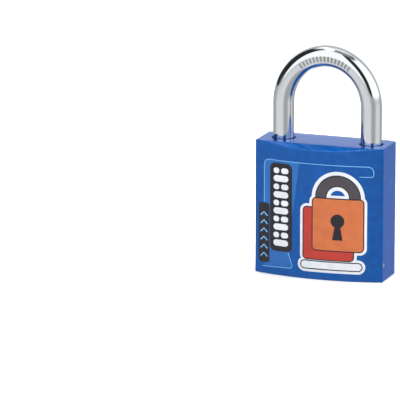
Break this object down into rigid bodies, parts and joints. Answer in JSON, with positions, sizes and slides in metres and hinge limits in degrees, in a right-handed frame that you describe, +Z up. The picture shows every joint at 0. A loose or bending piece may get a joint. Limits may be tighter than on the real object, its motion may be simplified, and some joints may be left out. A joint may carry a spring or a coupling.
{
  "type": "padlock",
  "caption": "Closed padlock with a blue bowed block body, a round chromed shackle, a pin tumbler cylinder opening in the bottom face and two inner locking bolts.",
  "frame": {"origin": "centre of the body bottom face, on the floor when the padlock stands", "axes": "+Z up through the body towards the shackle crown, +X across the body from the short toe leg to the long heel leg, -Y towards the decorated front"},
  "size_m": [0.04, 0.0184, 0.0691],
  "materials": {
    "coating": "gloss",
    "chrome": "polished",
    "nickel": "satin",
    "brass": "satin",
    "steel": "satin",
    "spring_steel": "satin"
  },
  "bodies": {
    "case": {"body": "coating", "shackle_spring": "spring_steel", "plug_retaining_pin": "steel", "cross_bore_plug": "coating", "driver_spring_1": "spring_steel", "driver_spring_2": "spring_steel", "driver_spring_3": "spring_steel", "driver_spring_4": "spring_steel", "driver_spring_5": "spring_steel", "chamber_plug_1": "coating", "chamber_plug_2": "coating", "chamber_plug_3": "coating", "chamber_plug_4": "coating", "chamber_plug_5": "coating"},
    "shackle": {"shackle": "chrome"},
    "cylinder": {"plug": "nickel", "actuator": "steel"},
    "toe_bolt": {"toe_bolt": "steel"},
    "heel_bolt": {"heel_bolt": "steel"},
    "key_pin_1": {"key_pin_1": "brass"},
    "driver_pin_1": {"driver_pin_1": "brass"},
    "key_pin_2": {"key_pin_2": "brass"},
    "driver_pin_2": {"driver_pin_2": "brass"},
    "key_pin_3": {"key_pin_3": "brass"},
    "driver_pin_3": {"driver_pin_3": "brass"},
    "key_pin_4": {"key_pin_4": "brass"},
    "driver_pin_4": {"driver_pin_4": "brass"},
    "key_pin_5": {"key_pin_5": "brass"},
    "driver_pin_5": {"driver_pin_5": "brass"}
  },
  "joints": [
    {"name": "shackle_lift", "type": "slide", "parent": "case", "child": "shackle", "axis": [0, 0, 1], "range_m": [0, 0.012], "deforming": ["shackle_spring"]},
    {"name": "plug_turn", "type": "hinge", "parent": "case", "child": "cylinder", "pos_m": [0.0005, 0, 0], "axis": [0, 0, -1], "range_deg": [0, 90]},
    {"name": "toe_bolt_throw", "type": "slide", "parent": "case", "child": "toe_bolt", "axis": [-1, 0, 0], "range_m": [0, 0.00145]},
    {"name": "heel_bolt_throw", "type": "slide", "parent": "case", "child": "heel_bolt", "axis": [1, 0, 0], "range_m": [0, 0.0009]},
    {"name": "driver_pin_1_slide", "type": "slide", "parent": "case", "child": "driver_pin_1", "axis": [-1, 0, 0], "range_m": [0, 0.0024], "stiffness_N_per_m": 200, "springref_m": -0.003, "deforming": ["driver_spring_1"]},
    {"name": "key_pin_1_slide", "type": "slide", "parent": "cylinder", "child": "key_pin_1", "axis": [0, 1, 0], "range_m": [0, 0.0017]},
    {"name": "driver_pin_2_slide", "type": "slide", "parent": "case", "child": "driver_pin_2", "axis": [-1, 0, 0], "range_m": [0, 0.0024], "stiffness_N_per_m": 200, "springref_m": -0.003, "deforming": ["driver_spring_2"]},
    {"name": "key_pin_2_slide", "type": "slide", "parent": "cylinder", "child": "key_pin_2", "axis": [0, 1, 0], "range_m": [0, 0.0025]},
    {"name": "driver_pin_3_slide", "type": "slide", "parent": "case", "child": "driver_pin_3", "axis": [-1, 0, 0], "range_m": [0, 0.0024], "stiffness_N_per_m": 200, "springref_m": -0.003, "deforming": ["driver_spring_3"]},
    {"name": "key_pin_3_slide", "type": "slide", "parent": "cylinder", "child": "key_pin_3", "axis": [0, 1, 0], "range_m": [0, 0.0009]},
    {"name": "driver_pin_4_slide", "type": "slide", "parent": "case", "child": "driver_pin_4", "axis": [-1, 0, 0], "range_m": [0, 0.0024], "stiffness_N_per_m": 200, "springref_m": -0.003, "deforming": ["driver_spring_4"]},
    {"name": "key_pin_4_slide", "type": "slide", "parent": "cylinder", "child": "key_pin_4", "axis": [0, 1, 0], "range_m": [0, 0.0021]},
    {"name": "driver_pin_5_slide", "type": "slide", "parent": "case", "child": "driver_pin_5", "axis": [-1, 0, 0], "range_m": [0, 0.0024], "stiffness_N_per_m": 200, "springref_m": -0.003, "deforming": ["driver_spring_5"]},
    {"name": "key_pin_5_slide", "type": "slide", "parent": "cylinder", "child": "key_pin_5", "axis": [0, 1, 0], "range_m": [0, 0.0013]}
  ],
  "couplings": [
    {"joint": "toe_bolt_throw", "follows": "plug_turn", "m_per_rad": 0.000923},
    {"joint": "heel_bolt_throw", "follows": "plug_turn", "m_per_rad": 0.0005729}
  ]
}
